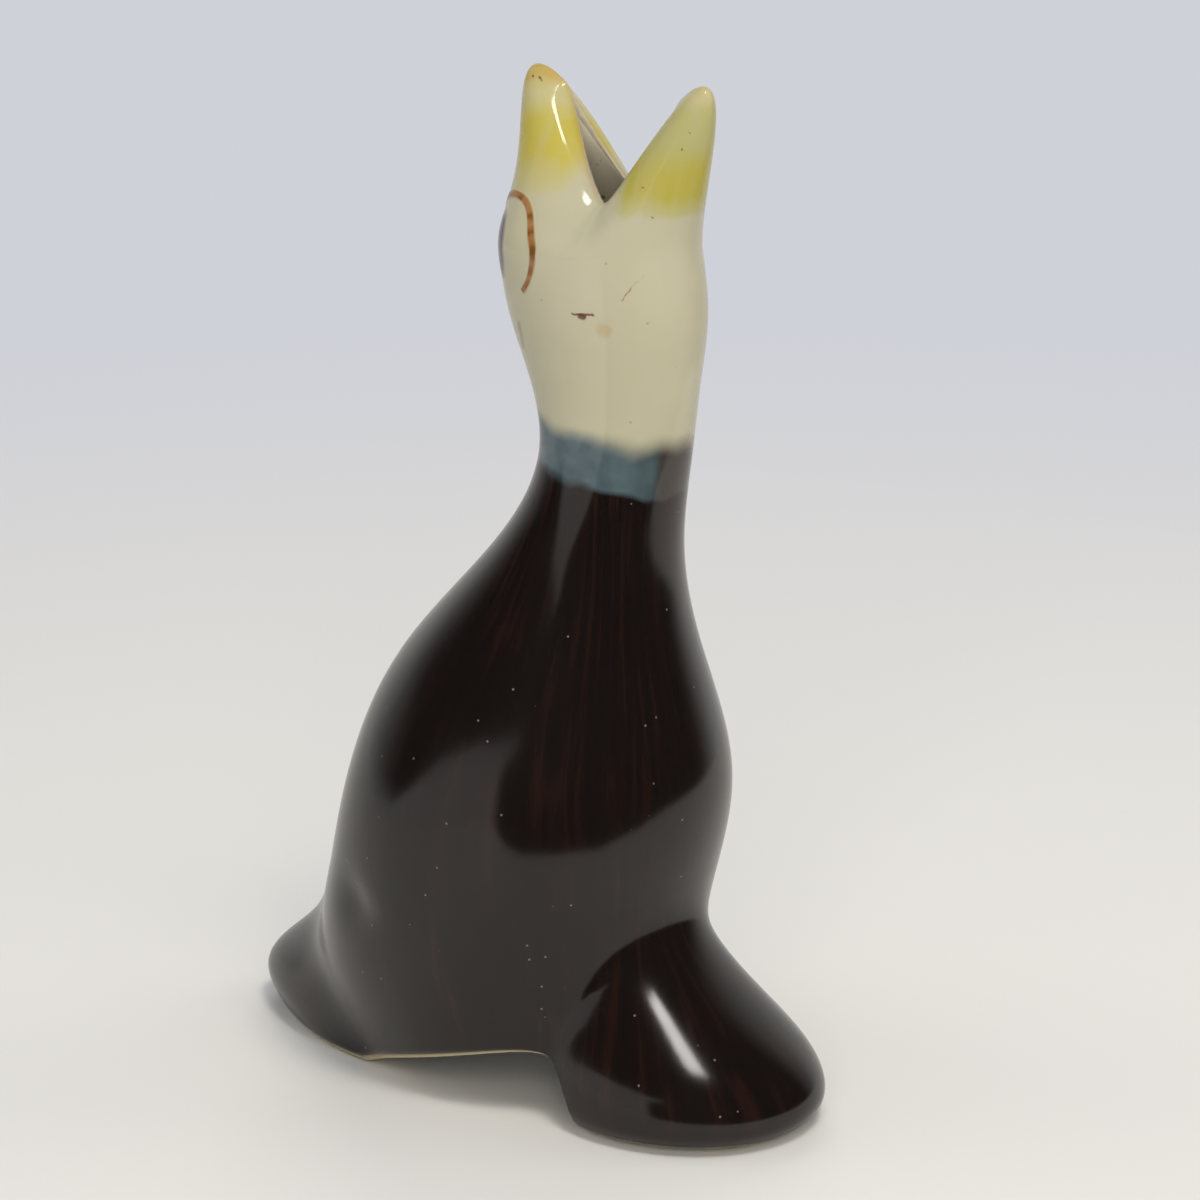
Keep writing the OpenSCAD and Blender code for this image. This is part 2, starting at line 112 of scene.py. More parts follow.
def reach(angle, z, inset=0.0, hollow=False):
    """Distance from the spine to the skin: the twelfth-power sum of body, foot and tail, which rounds the
    creases between them. The tail's share fades by a fifth over its top 4 mm, and the hollow stops 6 mm
    short of the tail's tip."""
    low = np.minimum(z, root_z)
    fade = np.clip((z - root_z + 4) / 4, 0, 1)
    body = oval(chest_line(z) - inset, back_line(z) - inset, flank_line(z) - inset, angle)
    foot = oval(foot_line(low) - inset, foot_back - inset, foot_half_line(low) - inset, angle)
    tail = wedge(tail_line(low) - 1.5 * inset - 6 * hollow, tail_half - inset, angle)
    foot, tail = foot * (z < root_z), tail * (z < root_z) * (1 - 0.2 * fade**2 * (3 - 2 * fade))
    return (body**12 + foot**12 + tail**12) ** (1 / 12)


def arch(angle):
    """Height of the rim over the table: a long bowed ramp up from the tail meets a short one down to the
    foot, and a cubic sum rounds the corner between them."""
    x = reach(angle, np.full_like(angle, 4.0)) * np.cos(angle)
    rear, fore = np.maximum((x - arch_rear) / rear_ramp, 0), np.maximum((arch_fore - x) / fore_ramp, 0)
    rear, fore = (rear**2 / (rear + 0.08)) ** 0.75, fore**2 / (fore + 0.08)
    return arch_h * rear * fore / np.maximum((rear**3 + fore**3) ** (1 / 3), 1e-9)


def lip(angle, inset):
    """Edge of the bill: straight from the corner of the mouth up to the tip, with both ends rounded."""
    t = np.abs(np.cos(angle)) ** 1.3
    climb = (np.hypot(t, 0.1) - 0.1) / (np.hypot(1, 0.1) - 0.1)
    narrow = 0.84 * (1 - t) + 0.16 * np.sqrt(np.maximum(0, 1 - t * t))
    tip_z = np.where(np.cos(angle) > 0, lower_tip_z, upper_tip_z) - tip_drop * inset
    return np.stack([np.sign(np.cos(angle)) * (tip_x - tip_inset * inset) * t,
                     np.sign(np.sin(angle)) * (mouth_half - inset) * narrow,
                     mouth_z + (tip_z - mouth_z) * climb], -1)


def bill_ends(angle, inset, hollow):
    """Where the bill's skin leaves the brow and comes to the lip, and its direction at each."""
    c, s, t = np.cos(angle), np.sin(angle), np.abs(np.cos(angle)) ** 2.6
    brow = np.full_like(angle, brow_z)
    r = reach(angle, brow, inset)
    slope = (r - reach(angle, brow - 0.2, inset)) / 0.2
    swing, dive, lift = (np.where(c > 0, low, up) for low, up in ((21.5, 28), (15.4, 16.4), (0.6, 1)))
    if hollow:
        swing, dive, lift = 2.5, -8, 1
    pull = 2.5 + (swing - 2.5) * t
    end = lip(angle, inset)
    start = np.stack([r * c, r * s, brow], -1)
    leave = np.stack([slope * c, slope * s, np.ones_like(c)], -1)
    leave = leave * ((end[..., 2] - brow_z) * (1 + (lift - 1) * t))[..., None]
    arrive = np.stack([-pull * c * np.abs(c), -pull * s, 2 - (dive + 2) * t], -1)
    return start, leave, end, arrive


def cubic(u, start, leave, end, arrive):
    """Cubic between two points with a given direction at each."""
    u = np.asarray(u)[..., None]
    return ((2 * u**3 - 3 * u**2 + 1) * start + (u**3 - 2 * u**2 + u) * leave
            + (3 * u**2 - 2 * u**3) * end + (u**3 - u**2) * arrive)


def swollen(points, angle):
    """Points pushed out by the bell-shaped swelling of the eyeball, and set in the part's frame."""
    turn = (np.abs(angle) - eye_angle) * brow_back
    out = swell_h * np.exp(-(turn**2 + (points[..., 2] - swell_z) ** 2) / swell_r**2)
    return points + np.stack([spine_x + out * np.cos(angle), out * np.sin(angle), 0 * out], -1)


def skin(angle, level, inset=0.0, hollow=False):
    """Point of the skin. Up to the brow a level is a height, lifted by the arch at the rim and tilted with
    the collar; from the brow to the lip, one more level, it follows the bill's cubic. The upper bill
    narrows half way up, and a bell-shaped dent lies over each side of the tail."""
    low = np.minimum(level, brow_z)
    tilt = collar_tilt * np.cos(angle) * np.exp(-((low - (collar_low + collar_top) / 2) / 8) ** 2)
    z = low + arch(angle) * np.maximum(0, 1 - low / arch_fade) - tilt
    dent = ((np.abs(angle) - dent_angle) * dent_reach) ** 2 + (low - dent_z) ** 2
    r = reach(angle, z, inset, hollow) - dent_depth * np.exp(-dent / dent_r**2)
    round_spine = np.stack([np.cos(angle), np.sin(angle), 0 * angle], -1)
    trunk = r[..., None] * round_spine + np.stack([0 * z, 0 * z, z], -1)
    u = np.clip(level - brow_z, 0, 1)
    waist = 0 * u if hollow else bill_waist * np.minimum(np.cos(angle), 0) * (4 * u * (1 - u)) ** 2
    bill = cubic(u, *bill_ends(angle, inset, hollow)) + waist[..., None] * round_spine
    return swollen(np.where((level > brow_z)[..., None], bill, trunk), angle)


def steps(low, high, count, gather=1.0):
    """Levels from low, left out, to high; a gather over 1 crowds them towards low."""
    return low + (high - low) * (np.arange(1, count + 1) / count) ** gather


# One fine grid serves the casting and its coats, so that they meet without a step. Its columns crowd
# towards breast and tail.
columns = 240
turns = np.arange(columns) * 2 * np.pi / columns - np.pi
levels = np.concatenate([np.array([0, 0.1, 0.22, 0.35, wiped_h]), steps(wiped_h, collar_low, 90, 1.4),
                         steps(collar_low, collar_top, 12), steps(collar_top, brow_z, 34),
                         steps(brow_z, brow_z + 1, 56), steps(brow_z + 1, brow_z + 2, 10)])
angle, level = np.meshgrid(turns - np.radians(10) * np.sin(2 * turns), levels)
cell_angle = np.abs((angle + np.roll(angle, -1, 1))[:-1] / 2)
cell_angle[:, -1] = np.pi
cell_level = (level[1:] + level[:-1]) / 2
brush = np.stack([np.cos(angle), np.sin(angle), level], -1)


def shell(name, outside, inside, held, brush, softened=0):
    """Closed shell between two grids of points, over the cells that are held. Rows run up the bird and
    columns round it. A cell's corners are its own point, the next one round and the two above, and a side
    that meets no held cell gets a wall. Both skins are shaded by the slope of the whole grid, softened up
    the bird by repeated averages of three rows, where the bend changes at the brow."""
    rows, cols = outside.shape[:2]
    size = rows * cols
    closed = held[:, -1].any()
    around = [np.roll(g, -1, 1) - np.roll(g, 1, 1) if closed else np.gradient(g, axis=1)
              for g in (outside, inside)]
    normals = [np.cross(a, np.gradient(g, axis=0)) for a, g in zip(around, (outside, -inside))]
    for n in normals:
        n /= np.maximum(np.linalg.norm(n, axis=-1, keepdims=True), 1e-12)
        for _ in range(softened):
            n[1:-1] = (n[:-2] + 2 * n[1:-1] + n[2:]) / 4
    shade = np.concatenate([n.reshape(-1, 3) for n in normals])
    own = np.arange(size).reshape(rows, cols)
    a, d = own[:-1], own[1:]
    b, c = np.roll(a, -1, 1), np.roll(d, -1, 1)
    none = np.zeros((1, cols), bool)
    sides = ((np.vstack([none, held[:-1]]), b, a), (np.vstack([held[1:], none]), d, c),
             (np.roll(held, 1, 1), a, d), (np.roll(held, -1, 1), c, b))
    walls = np.concatenate([np.stack([p, q, q + size, p + size], -1)[held & ~beside]
                            for beside, p, q in sides])
    skins = np.concatenate([np.stack([a, b, c, d], -1)[held], np.stack([a, d, c, b], -1)[held] + size])
    points = np.concatenate([outside.reshape(-1, 3), inside.reshape(-1, 3)]) / 1000
    flat = np.cross(points[walls[:, 2]] - points[walls[:, 0]], points[walls[:, 3]] - points[walls[:, 1]])
    loops = np.concatenate([shade[skins].reshape(-1, 3), np.repeat(flat, 4, axis=0)])
    loops /= np.maximum(np.linalg.norm(loops, axis=1, keepdims=True), 1e-15)
    used, faces = np.unique(np.concatenate([skins, walls]), return_inverse=True)
    mesh = bpy.data.meshes.new(name)
    mesh.from_pydata(points[used], [], faces.reshape(-1, 4))
    mesh.shade_smooth()
    mesh.normals_split_custom_set(loops.tolist())
    mesh.attributes.new("brush", "FLOAT_VECTOR", "POINT")
    mesh.attributes["brush"].data.foreach_set("vector", np.tile(brush.reshape(-1, 3), (2, 1))[used].ravel())
    piece = bpy.data.objects.new(name, mesh)
    bpy.context.scene.collection.objects.link(piece)
    return piece


# The outside lies under the glaze, with its bottom edge rubbed round; the inside thins towards the lips and
# was cut back by 1 mm at the rim.
rub_t, rub_h = 0.3, 0.4
fettle_h, fettle_over = 1.0, 3.0
rubbed = rub_t * (1 - np.sqrt(1 - np.clip(1 - level / rub_h, 0, 1) ** 2))
fettled = fettle_h * np.clip(1 - level / fettle_over, 0, 1)
wall = wall_t + (lip_t - wall_t) * np.clip(level - brow_z, 0, 1)
to_lip = np.minimum(level, brow_z + 1)
clay_outside = skin(angle, to_lip, glaze_t + rubbed)
clay_inside = skin(angle, to_lip + fettled, glaze_t + wall - rubbed, hollow=True)
casting = shell("biscuit_casting", clay_outside, clay_inside, cell_level < brow_z + 1, brush)


def linear(hex_colour):
    """sRGB hex to linear RGBA."""
    srgb = np.array([int(hex_colour[i:i + 2], 16) for i in (1, 3, 5)]) / 255
    return (*np.where(srgb <= 0.04045, srgb / 12.92, ((srgb + 0.055) / 1.055) ** 2.4), 1.0)


def add(tree, kind, sockets=(), out=0, **settings):
    """One node: its settings, and its inputs by name or number, each a constant or an output to link."""
    node = tree.nodes.new("ShaderNode" + kind)
    for name, value in settings.items():
        setattr(node, name, value)
    for key, value in (sockets.items() if isinstance(sockets, dict) else enumerate(sockets)):
        if isinstance(value, bpy.types.NodeSocket):
            tree.links.new(value, node.inputs[key])
        elif value is not None:
            node.inputs[key].default_value = value
    return node.outputs[out]


# Settings of a Mix node that blends colours.
of_colours = {"out": 2, "data_type": "RGBA"}


def fired(name, piece, **sockets):
    """A material on the piece, with constants set on its shader; gives its tree and the shader's inputs."""
    material = bpy.data.materials.new(name)
    material.use_nodes = True
    piece.data.materials.append(material)
    inputs = material.node_tree.nodes["Principled BSDF"].inputs
    for key, value in sockets.items():
        inputs[key.replace("_", " ")].default_value = value
    return material.node_tree, inputs


# Biscuit earthenware: dry, chalky and buff, with iron specks and a grain of about 0.25 mm.
# It is darkened to brown, as painted shade, from 0.15 mm above the rim, and inside the bill it is greyer.
tree, clay = fired("biscuit_earthenware", casting, IOR=1.45)
place = add(tree, "TexCoord", out=3)
cloud = add(tree, "TexNoise", {"Vector": place, "Scale": 1 / 0.004, "Detail": 4.0})
grain = add(tree, "TexNoise", {"Vector": place, "Scale": 1 / 0.0005, "Detail": 3.0})
speck = add(tree, "TexVoronoi", {"Vector": place, "Scale": 1 / 0.0022})
dot = add(tree, "MapRange", {0: speck, 1: 0.10, 2: 0.16, 3: 0.75, 4: 0.0})
height = add(tree, "SeparateXYZ", [place], out=2)
inner = add(tree, "MapRange", {0: height, 1: 0.080, 2: 0.094})
buff = add(tree, "Mix", {0: cloud, 6: linear("#b0a480"), 7: linear("#c4b897")}, **of_colours)
grey = add(tree, "Mix", {0: cloud, 6: linear("#cfc6ae"), 7: linear("#ddd5bf")}, **of_colours)
way = add(tree, "Attribute", out=1, attribute_name="brush")
# Painted shade: the clay turns dark brown from 0.15 mm above the rim and is fully dark by 0.6 mm, for the
# shaded hollow of the body.
painted_shade_share = add(tree, "MapRange", {0: add(tree, "SeparateXYZ", [way], out=2), 1: 0.15, 2: 0.6})
painted_shade_clay = add(tree, "Mix", {0: painted_shade_share, 6: buff, 7: linear("#5f5140")}, **of_colours)
body = add(tree, "Mix", {0: inner, 6: painted_shade_clay, 7: grey}, **of_colours)
spotted = add(tree, "Mix", {0: dot, 6: body, 7: linear("#6d5a44")}, **of_colours)
tree.links.new(spotted, clay["Base Color"])
tree.links.new(add(tree, "MapRange", {0: cloud, 3: 0.75, 4: 0.95}), clay["Roughness"])
tree.links.new(add(tree, "Bump", {"Height": grain, "Strength": 0.35, "Distance": 0.0001}), clay["Normal"])
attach(casting, "root")
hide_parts("clay_casting")


# Brown coat.
# The body, foot and tail are brushed with a glossy, nearly black brown glaze from the collar down to
# the wiped rim, where the glaze ends in a soft rolled edge.
rolled_edge, lip_roll = 0.5, 1.3
ease = np.clip((level - wiped_h) / rolled_edge, 0, 1)
thinned = 0.94 * glaze_t * (1 - np.sqrt(1 - (1 - ease) ** 2)) * (level < collar_low)
glazed = skin(angle, to_lip, thinned)
glaze_bed = skin(angle, to_lip, glaze_t)

# Above the lip the glaze rolls over the edge: a cubic that leaves the outer skin as it comes and runs down
# the inner one.
outer_end, outer_way = bill_ends(angle, 0.0, False)[2:]
inner_end, inner_way = bill_ends(angle, glaze_t + lip_t, True)[2:]
chord = np.linalg.norm(inner_end - outer_end, axis=-1, keepdims=True)
bow = [way / np.linalg.norm(way, axis=-1, keepdims=True) * chord * lip_roll
       for way in (outer_way, inner_way)]
past_lip = np.clip(level - brow_z - 1, 0, 1)
rolled = swollen(cubic(past_lip, outer_end, bow[0], inner_end, -bow[1]), angle)
bed_end = lip(angle, glaze_t)
under = swollen(bed_end + (inner_end - bed_end) * 0.96 * past_lip[..., None], angle)
glazed = np.where((level > brow_z + 1)[..., None], rolled, glazed)
glaze_bed = np.where((level > brow_z + 1)[..., None], under, glaze_bed)
in_brown = (cell_level > wiped_h) & (cell_level < collar_low)
brown_coat = shell("brown_coat", glazed, glaze_bed, in_brown, brush)


def uneven(tree, inputs, place, dull):
    """Gentle waves, about 16 mm long, and a faint orange-peel of 1 mm, as poured clay and melted glaze
    leave; the gloss itself is up to a third duller than given in patches of 6 mm. Gives the last bump."""
    wave = add(tree, "TexNoise", {"Vector": place, "Scale": 1 / 0.016, "Detail": 1.0})
    peel = add(tree, "TexNoise", {"Vector": place, "Scale": 1 / 0.0012, "Detail": 1.0})
    worn = add(tree, "TexNoise", {"Vector": place, "Scale": 1 / 0.006, "Detail": 3.0})
    slow = add(tree, "Bump", {"Height": wave, "Strength": 0.25, "Distance": 0.0008})
    fine = add(tree, "Bump", {"Height": peel, "Strength": 0.03, "Distance": 0.0001, "Normal": slow})
    dulled = add(tree, "MapRange", {0: worn, 1: 0.3, 2: 0.7, 3: dull, 4: 1.35 * dull})
    tree.links.new(fine, inputs["Normal"])
    tree.links.new(dulled, inputs["Roughness"])
    return fine


# Settings of a Map Range with soft ends.
softly = {"interpolation_type": "SMOOTHSTEP"}


def brushed_brown(tree, place):
    """Nearly black brown with slightly redder streaks, 1.4 mm apart on the breast, where the brush ran down
    the bird and swayed a little."""
    way = add(tree, "Attribute", out=1, attribute_name="brush")
    along = add(tree, "Mapping", {"Vector": way, "Scale": (14.0, 14.0, 0.05)})
    sway = add(tree, "TexNoise", {"Vector": place, "Scale": 1 / 0.022, "Detail": 1.0}, out=1)
    bent = add(tree, "VectorMath", [sway, (3.0, 3.0, 0.0), along], operation="MULTIPLY_ADD")
    streak = add(tree, "TexNoise", {"Vector": bent, "Scale": 1.0, "Detail": 5.0, "Roughness": 0.6})
    patch = add(tree, "TexNoise", {"Vector": place, "Scale": 1 / 0.012, "Detail": 2.0})
    thin = add(tree, "MapRange", {0: streak, 1: 0.45, 2: 0.8}, **softly)
    bare = add(tree, "MapRange", {0: patch, 1: 0.3, 2: 0.75, 3: 0.3, 4: 1.0})
    share = add(tree, "Math", [thin, bare], operation="MULTIPLY")
    return add(tree, "Mix", {0: share, 6: linear("#150f0d"), 7: linear("#311b15")}, **of_colours)


def bleed(tree, place, edge, softness, wander, wave):
    """How far a colour has taken over above an edge: 0 below, 1 above, softly, where the edge is a level in
    millimetres that wanders up and down by noise of a given wave length."""
    way = add(tree, "Attribute", out=1, attribute_name="brush")
    up = add(tree, "SeparateXYZ", [way], out=2)
    noise = add(tree, "TexNoise", {"Vector": place, "Scale": 1 / wave, "Detail": 1.5})
    shift = add(tree, "Math", [noise, -0.5], operation="ADD")
    moved = add(tree, "Math", [shift, 2 * wander, up], operation="MULTIPLY_ADD")
    return add(tree, "MapRange", {0: moved, 1: edge - softness, 2: edge + softness}, **softly)


def cloudy_blue(tree, place):
    """Grey-blue, greener where the brush left less of it and darker to the front as painted shade; at the
    very front the brown is dragged up over it."""
    pool = add(tree, "TexNoise", {"Vector": place, "Scale": 1 / 0.005, "Detail": 3.0})
    deep = add(tree, "MapRange", {0: pool, 1: 0.35, 2: 0.68})
    blue = add(tree, "Mix", {0: deep, 6: linear("#3d484f"), 7: linear("#5c6f72")}, **of_colours)
    way = add(tree, "Attribute", out=1, attribute_name="brush")
    ahead = add(tree, "SeparateXYZ", [way], out=0)
    # Painted shade: the blue darkens towards the front of the neck.
    painted_front_shade = add(tree, "MapRange", {0: ahead, 1: 0.4, 2: 0.85, 3: 0.0, 4: 0.55})
    blue = add(tree, "Mix", {0: painted_front_shade, 6: blue, 7: linear("#364144")}, **of_colours)
    dragged = add(tree, "MapRange", {0: ahead, 1: 0.87, 2: 0.97, 3: 0.0, 4: 0.9}, **softly)
    return add(tree, "Mix", {0: dragged, 6: blue, 7: linear("#3a3028")}, **of_colours)


def brown_to_blue(tree, place):
    """The brown below the collar and the blue in it, with the edge where one was brushed against the
    other."""
    low = bleed(tree, place, collar_low + 0.3, softness=0.5, wander=1.3, wave=0.004)
    brown, blue = brushed_brown(tree, place), cloudy_blue(tree, place)
    return add(tree, "Mix", {0: low, 6: brown, 7: blue}, **of_colours)


# Brown pottery glaze: fired to a hard gloss, with fine pale dust on it that shows as tiny dots.
tree, glaze = fired("brown_pottery_glaze", brown_coat, IOR=1.54)
place = add(tree, "TexCoord", out=3)
speck = add(tree, "TexVoronoi", {"Vector": place, "Scale": 1 / 0.0025})
dot = add(tree, "MapRange", {0: speck, 1: 0.03, 2: 0.06, 3: 0.55, 4: 0.0})
dusted = add(tree, "Mix", {0: dot, 6: brown_to_blue(tree, place), 7: linear("#9c8f86")}, **of_colours)
tree.links.new(dusted, glaze["Base Color"])
uneven(tree, glaze, place, 0.13)
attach(brown_coat, "root")
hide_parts("body_glaze")


# Blue collar.
# A band of grey-blue colour brushed round the neck, above the brown. It ran into the cream in the kiln,
# so its top edge is soft and wavy, and its lower edge is where the brown was brushed against it.
in_collar = (cell_level > collar_low) & (cell_level < collar_top)
collar = shell("blue_collar", glazed, glaze_bed, in_collar, brush)


def specked_cream(tree, place):
    """Cream, slightly greener in clouds, with brown iron specks about 0.15 mm across."""
    cloud = add(tree, "TexNoise", {"Vector": place, "Scale": 1 / 0.009, "Detail": 3.0})
    speck = add(tree, "TexVoronoi", {"Vector": place, "Scale": 1 / 0.0034})
    dot = add(tree, "MapRange", {0: speck, 1: 0.02, 2: 0.06, 3: 0.45, 4: 0.0})
    clean = add(tree, "Mix", {0: cloud, 6: linear("#b1ab8d"), 7: linear("#c0baa0")}, **of_colours)
    return add(tree, "Mix", {0: dot, 6: clean, 7: linear("#8a6a45")}, **of_colours)


def blue_to_cream(tree, place, below):
    """A colour below the collar's top edge and cream above it."""
    top = bleed(tree, place, collar_top + 0.1, softness=1.3, wander=2.0, wave=0.0065)
    return add(tree, "Mix", {0: top, 6: below, 7: specked_cream(tree, place)}, **of_colours)


# Grey-blue underglaze colour below a clear gloss.
tree, glaze = fired("grey_blue_underglaze", collar, IOR=1.54)
place = add(tree, "TexCoord", out=3)
tree.links.new(blue_to_cream(tree, place, brown_to_blue(tree, place)), glaze["Base Color"])
uneven(tree, glaze, place, 0.10)
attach(collar, "root")
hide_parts("collar_glaze")


# Cream coat and the yellow of the bills.
# Neck and head are under one cream glaze. The outer end of each bill is brushed with yellow, which thins
# out towards the mouth, so the coats of the two bills carry on from the cream without an edge.
in_bill = cell_level > brow_z
upper = in_bill & (cell_level > brow_z + 3 / 8) & (cell_angle > np.radians(112))
lower = in_bill & (cell_level > brow_z + 2 / 8) & (cell_angle < np.radians(66))
cream = (cell_level > collar_top) & ~upper & ~lower
cream_coat = shell("cream_coat", glazed, glaze_bed, cream, brush, softened=24)
upper_coat = shell("upper_bill_coat", glazed, glaze_bed, upper, brush, softened=24)
lower_coat = shell("lower_bill_coat", glazed, glaze_bed, lower, brush, softened=24)

# Yellow of each bill: how far from the spine it begins and is full, then the heights at which its colours
# come in, each with the height over which it does, and the tan of the tip last.
upper_yellow = (-1.8, -4.4), ((97.3, 1.2, "#b9b075"), (99.4, 1.6, "#bcac48"), (104.8, 1.4, "#bcb48a"),
                              (107.2, 0.9, "#baa058"))
lower_yellow = (2.0, 4.6), ((95.8, 0.5, "#b1ab70"), (97.0, 1.2, "#afa346"), (101.6, 2.2, "#ada976"),
                            (106.6, 0.9, "#bcb084"))


def yellowed(tree, place, ground):
    """Yellow brushed up each bill over the ground colour, in streaks along it; its edges wander by about
    0.6 mm."""
    x, z = (add(tree, "SeparateXYZ", [place], out=k) for k in (0, 2))
    noise = add(tree, "TexNoise", {"Vector": place, "Scale": 1 / 0.004, "Detail": 3.0})
    wander = add(tree, "MapRange", {0: noise, 3: -0.0012, 4: 0.0012})
    lifted = add(tree, "Math", [z, wander], operation="ADD")
    way = add(tree, "Attribute", out=1, attribute_name="brush")
    along = add(tree, "Mapping", {"Vector": way, "Scale": (5.0, 5.0, 1.2)})
    streak = add(tree, "TexNoise", {"Vector": along, "Scale": 1.0, "Detail": 3.0})
    thin = add(tree, "MapRange", {0: streak, 1: 0.35, 2: 0.65, 3: 1.0, 4: 0.65})
    for (near, far), colours in (upper_yellow, lower_yellow):
        clear = add(tree, "MapRange", {0: x, 1: (spine_x + near) / 1000, 2: (spine_x + far) / 1000},
                    **softly)
        share = add(tree, "Math", [clear, thin], operation="MULTIPLY")
        for height, over, tint in colours:
            start, end = (height - over) / 1000, (height + over) / 1000
            begun = add(tree, "MapRange", {0: lifted, 1: start, 2: end}, **softly)
            part = add(tree, "Math", [begun, share], operation="MULTIPLY")
            ground = add(tree, "Mix", {0: part, 6: ground, 7: linear(tint)}, **of_colours)
    return ground


# Flaws of the firing on the right side: both ends in the part's millimetres, half width, colour and
# strength. The cream has a blotch, a scratch and two smears, the upper bill pin-holes, the lower four dots.
cream_flaws = (((12.9, -8.3, 85.75), (15.1, -7.8, 85.8), 0.16, "#6a3417", 0.9),
               ((13.7, -8.15, 85.6), (14.2, -8.05, 85.5), 0.3, "#54240f", 0.9),
               ((17.74, -6.61, 87.36), (18.5, -5.98, 88.6), 0.08, "#8a6a40", 0.9),
               ((18.5, -5.98, 88.6), (19.41, -4.99, 89.98), 0.06, "#a89268", 0.5),
               ((16.0, -7.46, 84.35), (16.3, -7.4, 84.2), 0.8, "#b0905a", 0.4),
               ((5.02, -7.03, 83.4), (5.12, -6.5, 81.2), 0.5, "#867856", 0.5))
upper_flaws = (((2.4, -1.45, 107.95), (2.5, -1.45, 107.9), 0.13, "#5a4420", 0.9),
               ((3.3, -1.32, 107.9), (3.6, -1.5, 107.5), 0.14, "#4a3616", 0.9))
lower_flaws = (((18.9, -4.54, 98.6), (19.0, -4.5, 98.55), 0.12, "#7a6a2c", 0.9),
               ((22.15, -2.59, 102.5), (22.2, -2.55, 102.4), 0.12, "#7a6a2c", 0.9),
               ((22.65, -2.17, 104.1), (22.7, -2.1, 104.05), 0.1, "#7a6a2c", 0.8),
               ((19.8, -4.31, 95.7), (19.9, -4.25, 95.65), 0.1, "#8a7440", 0.8))


def flawed(tree, place, ground, flaws):
    """Ground colour with the flaws on it: each covers what lies within its half width of a line, and its
    edge is ragged by 0.25 mm."""
    ragged = add(tree, "TexNoise", {"Vector": place, "Scale": 1 / 0.0008, "Detail": 2.0}, out=1)
    shaken = add(tree, "VectorMath", [ragged, (0.0005, 0.0005, 0.0005), place], operation="MULTIPLY_ADD")
    for start, end, width, tint, strength in flaws:
        start, end = np.array(start) / 1000 + 0.00025, np.array(end) / 1000 + 0.00025
        line = end - start
        offset = add(tree, "VectorMath", [shaken, tuple(start)], operation="SUBTRACT")
        along = tuple(line / (line @ line))
        share = add(tree, "VectorMath", [offset, along], out=1, operation="DOT_PRODUCT")
        held = add(tree, "Clamp", [share])
        nearest = add(tree, "VectorMath", {0: tuple(line), 3: held}, operation="SCALE")
        gap = add(tree, "VectorMath", [offset, nearest], out=1, operation="DISTANCE")
        cover = add(tree, "MapRange", {0: gap, 1: width / 2500, 2: width / 750, 3: strength, 4: 0.0},
                    **softly)
        ground = add(tree, "Mix", {0: cover, 6: ground, 7: linear(tint)}, **of_colours)
    return ground


# Cream earthenware glaze, and the same under brushed yellow. Where it rolls over the lips it is tan and
# beaded.
for piece, name, flaws, node, slot in (
        (cream_coat, "cream_pottery_glaze", cream_flaws, "head_glaze", "cream_glaze"),
        (upper_coat, "yellow_glaze_upper_bill", upper_flaws, "upper_bill_glaze", "upper_bill_yellow"),
        (lower_coat, "yellow_glaze_lower_bill", lower_flaws, "lower_bill_glaze", "lower_bill_yellow")):
    tree, glaze = fired(name, piece, IOR=1.5)
    place = add(tree, "TexCoord", out=3)
    if piece is cream_coat:
        ground = blue_to_cream(tree, place, cloudy_blue(tree, place))
    else:
        ground = specked_cream(tree, place)
    colour = flawed(tree, place, yellowed(tree, place, ground), flaws)
    way = add(tree, "Attribute", out=1, attribute_name="brush")
    up = add(tree, "SeparateXYZ", [way], out=2)
    edge = add(tree, "MapRange", {0: up, 1: brow_z + 0.93, 2: brow_z + 1.5, 3: 0.0, 4: 0.5}, **softly)
    edged = add(tree, "Mix", {0: edge, 6: colour, 7: linear("#ac8a50")}, **of_colours)
    turned_in = add(tree, "MapRange", {0: up, 1: brow_z + 1.35, 2: brow_z + 1.6})
    inside = add(tree, "Mix", {0: turned_in, 6: edged, 7: linear("#bdb59b")}, **of_colours)
    tree.links.new(inside, glaze["Base Color"])
    smooth = uneven(tree, glaze, place, 0.06)
    bead = add(tree, "TexNoise", {"Vector": place, "Scale": 1 / 0.0009, "Detail": 1.0})
    raised = add(tree, "Math", [bead, edge], operation="MULTIPLY")
    beaded = add(tree, "Bump", {"Height": raised, "Strength": 0.8, "Distance": 0.0004, "Normal": smooth})
    tree.links.new(beaded, glaze["Normal"])
    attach(piece, "root")
    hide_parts(node)


# Eyes.
# Each eye is drawn with a brush on the swelling at the side of the head: an open ring in brown, and in it
# an upright dab of purple-grey. Both are thin films that sank into the gloss of the cream.
eye_z = 91.4


def eye_skin(breadth, height, lift, side):
    """Point on the head at a breadth and a height from the middle of an eye, lifted off the glaze; heights
    above the brow are found on the bill's cubic by halving."""
    angle = side * (eye_angle + breadth / brow_back)
    z = eye_z + height
    low, high = np.zeros_like(angle), np.full_like(angle, 0.8)
    ends = bill_ends(angle, 0.0, False)
    for _ in range(20):
        middle = (low + high) / 2
        below = cubic(middle, *ends)[..., 2] < z
        low, high = np.where(below, middle, low), np.where(below, high, middle)
    return skin(angle, np.where(z > brow_z, brow_z + (low + high) / 2, z), -lift)


# The stroke runs round 240 degrees of a ring, waxes and wanes in breadth, and sags at its front.
ring_half, ring_up, stroke_half = 5.3, 5.2, 0.55
sag_depth = 1.1
stroke_t, dab_t, sunk = 0.08, 0.07, 0.03
sweep, across = np.meshgrid(np.radians(np.linspace(-53, 187, 160)), np.linspace(-1, 1, 13), indexing="ij")
stroke_width = stroke_half * (0.85 + 0.15 * np.sin(3 * sweep + 1.0))
sag = sag_depth * np.exp(-((np.degrees(sweep) - 30) / 24) ** 2)
film = stroke_t * np.sqrt(1 - 0.96 * across**2)
ring_held = np.ones(sweep.shape, bool)[1:]
ring_held[:, -1] = False

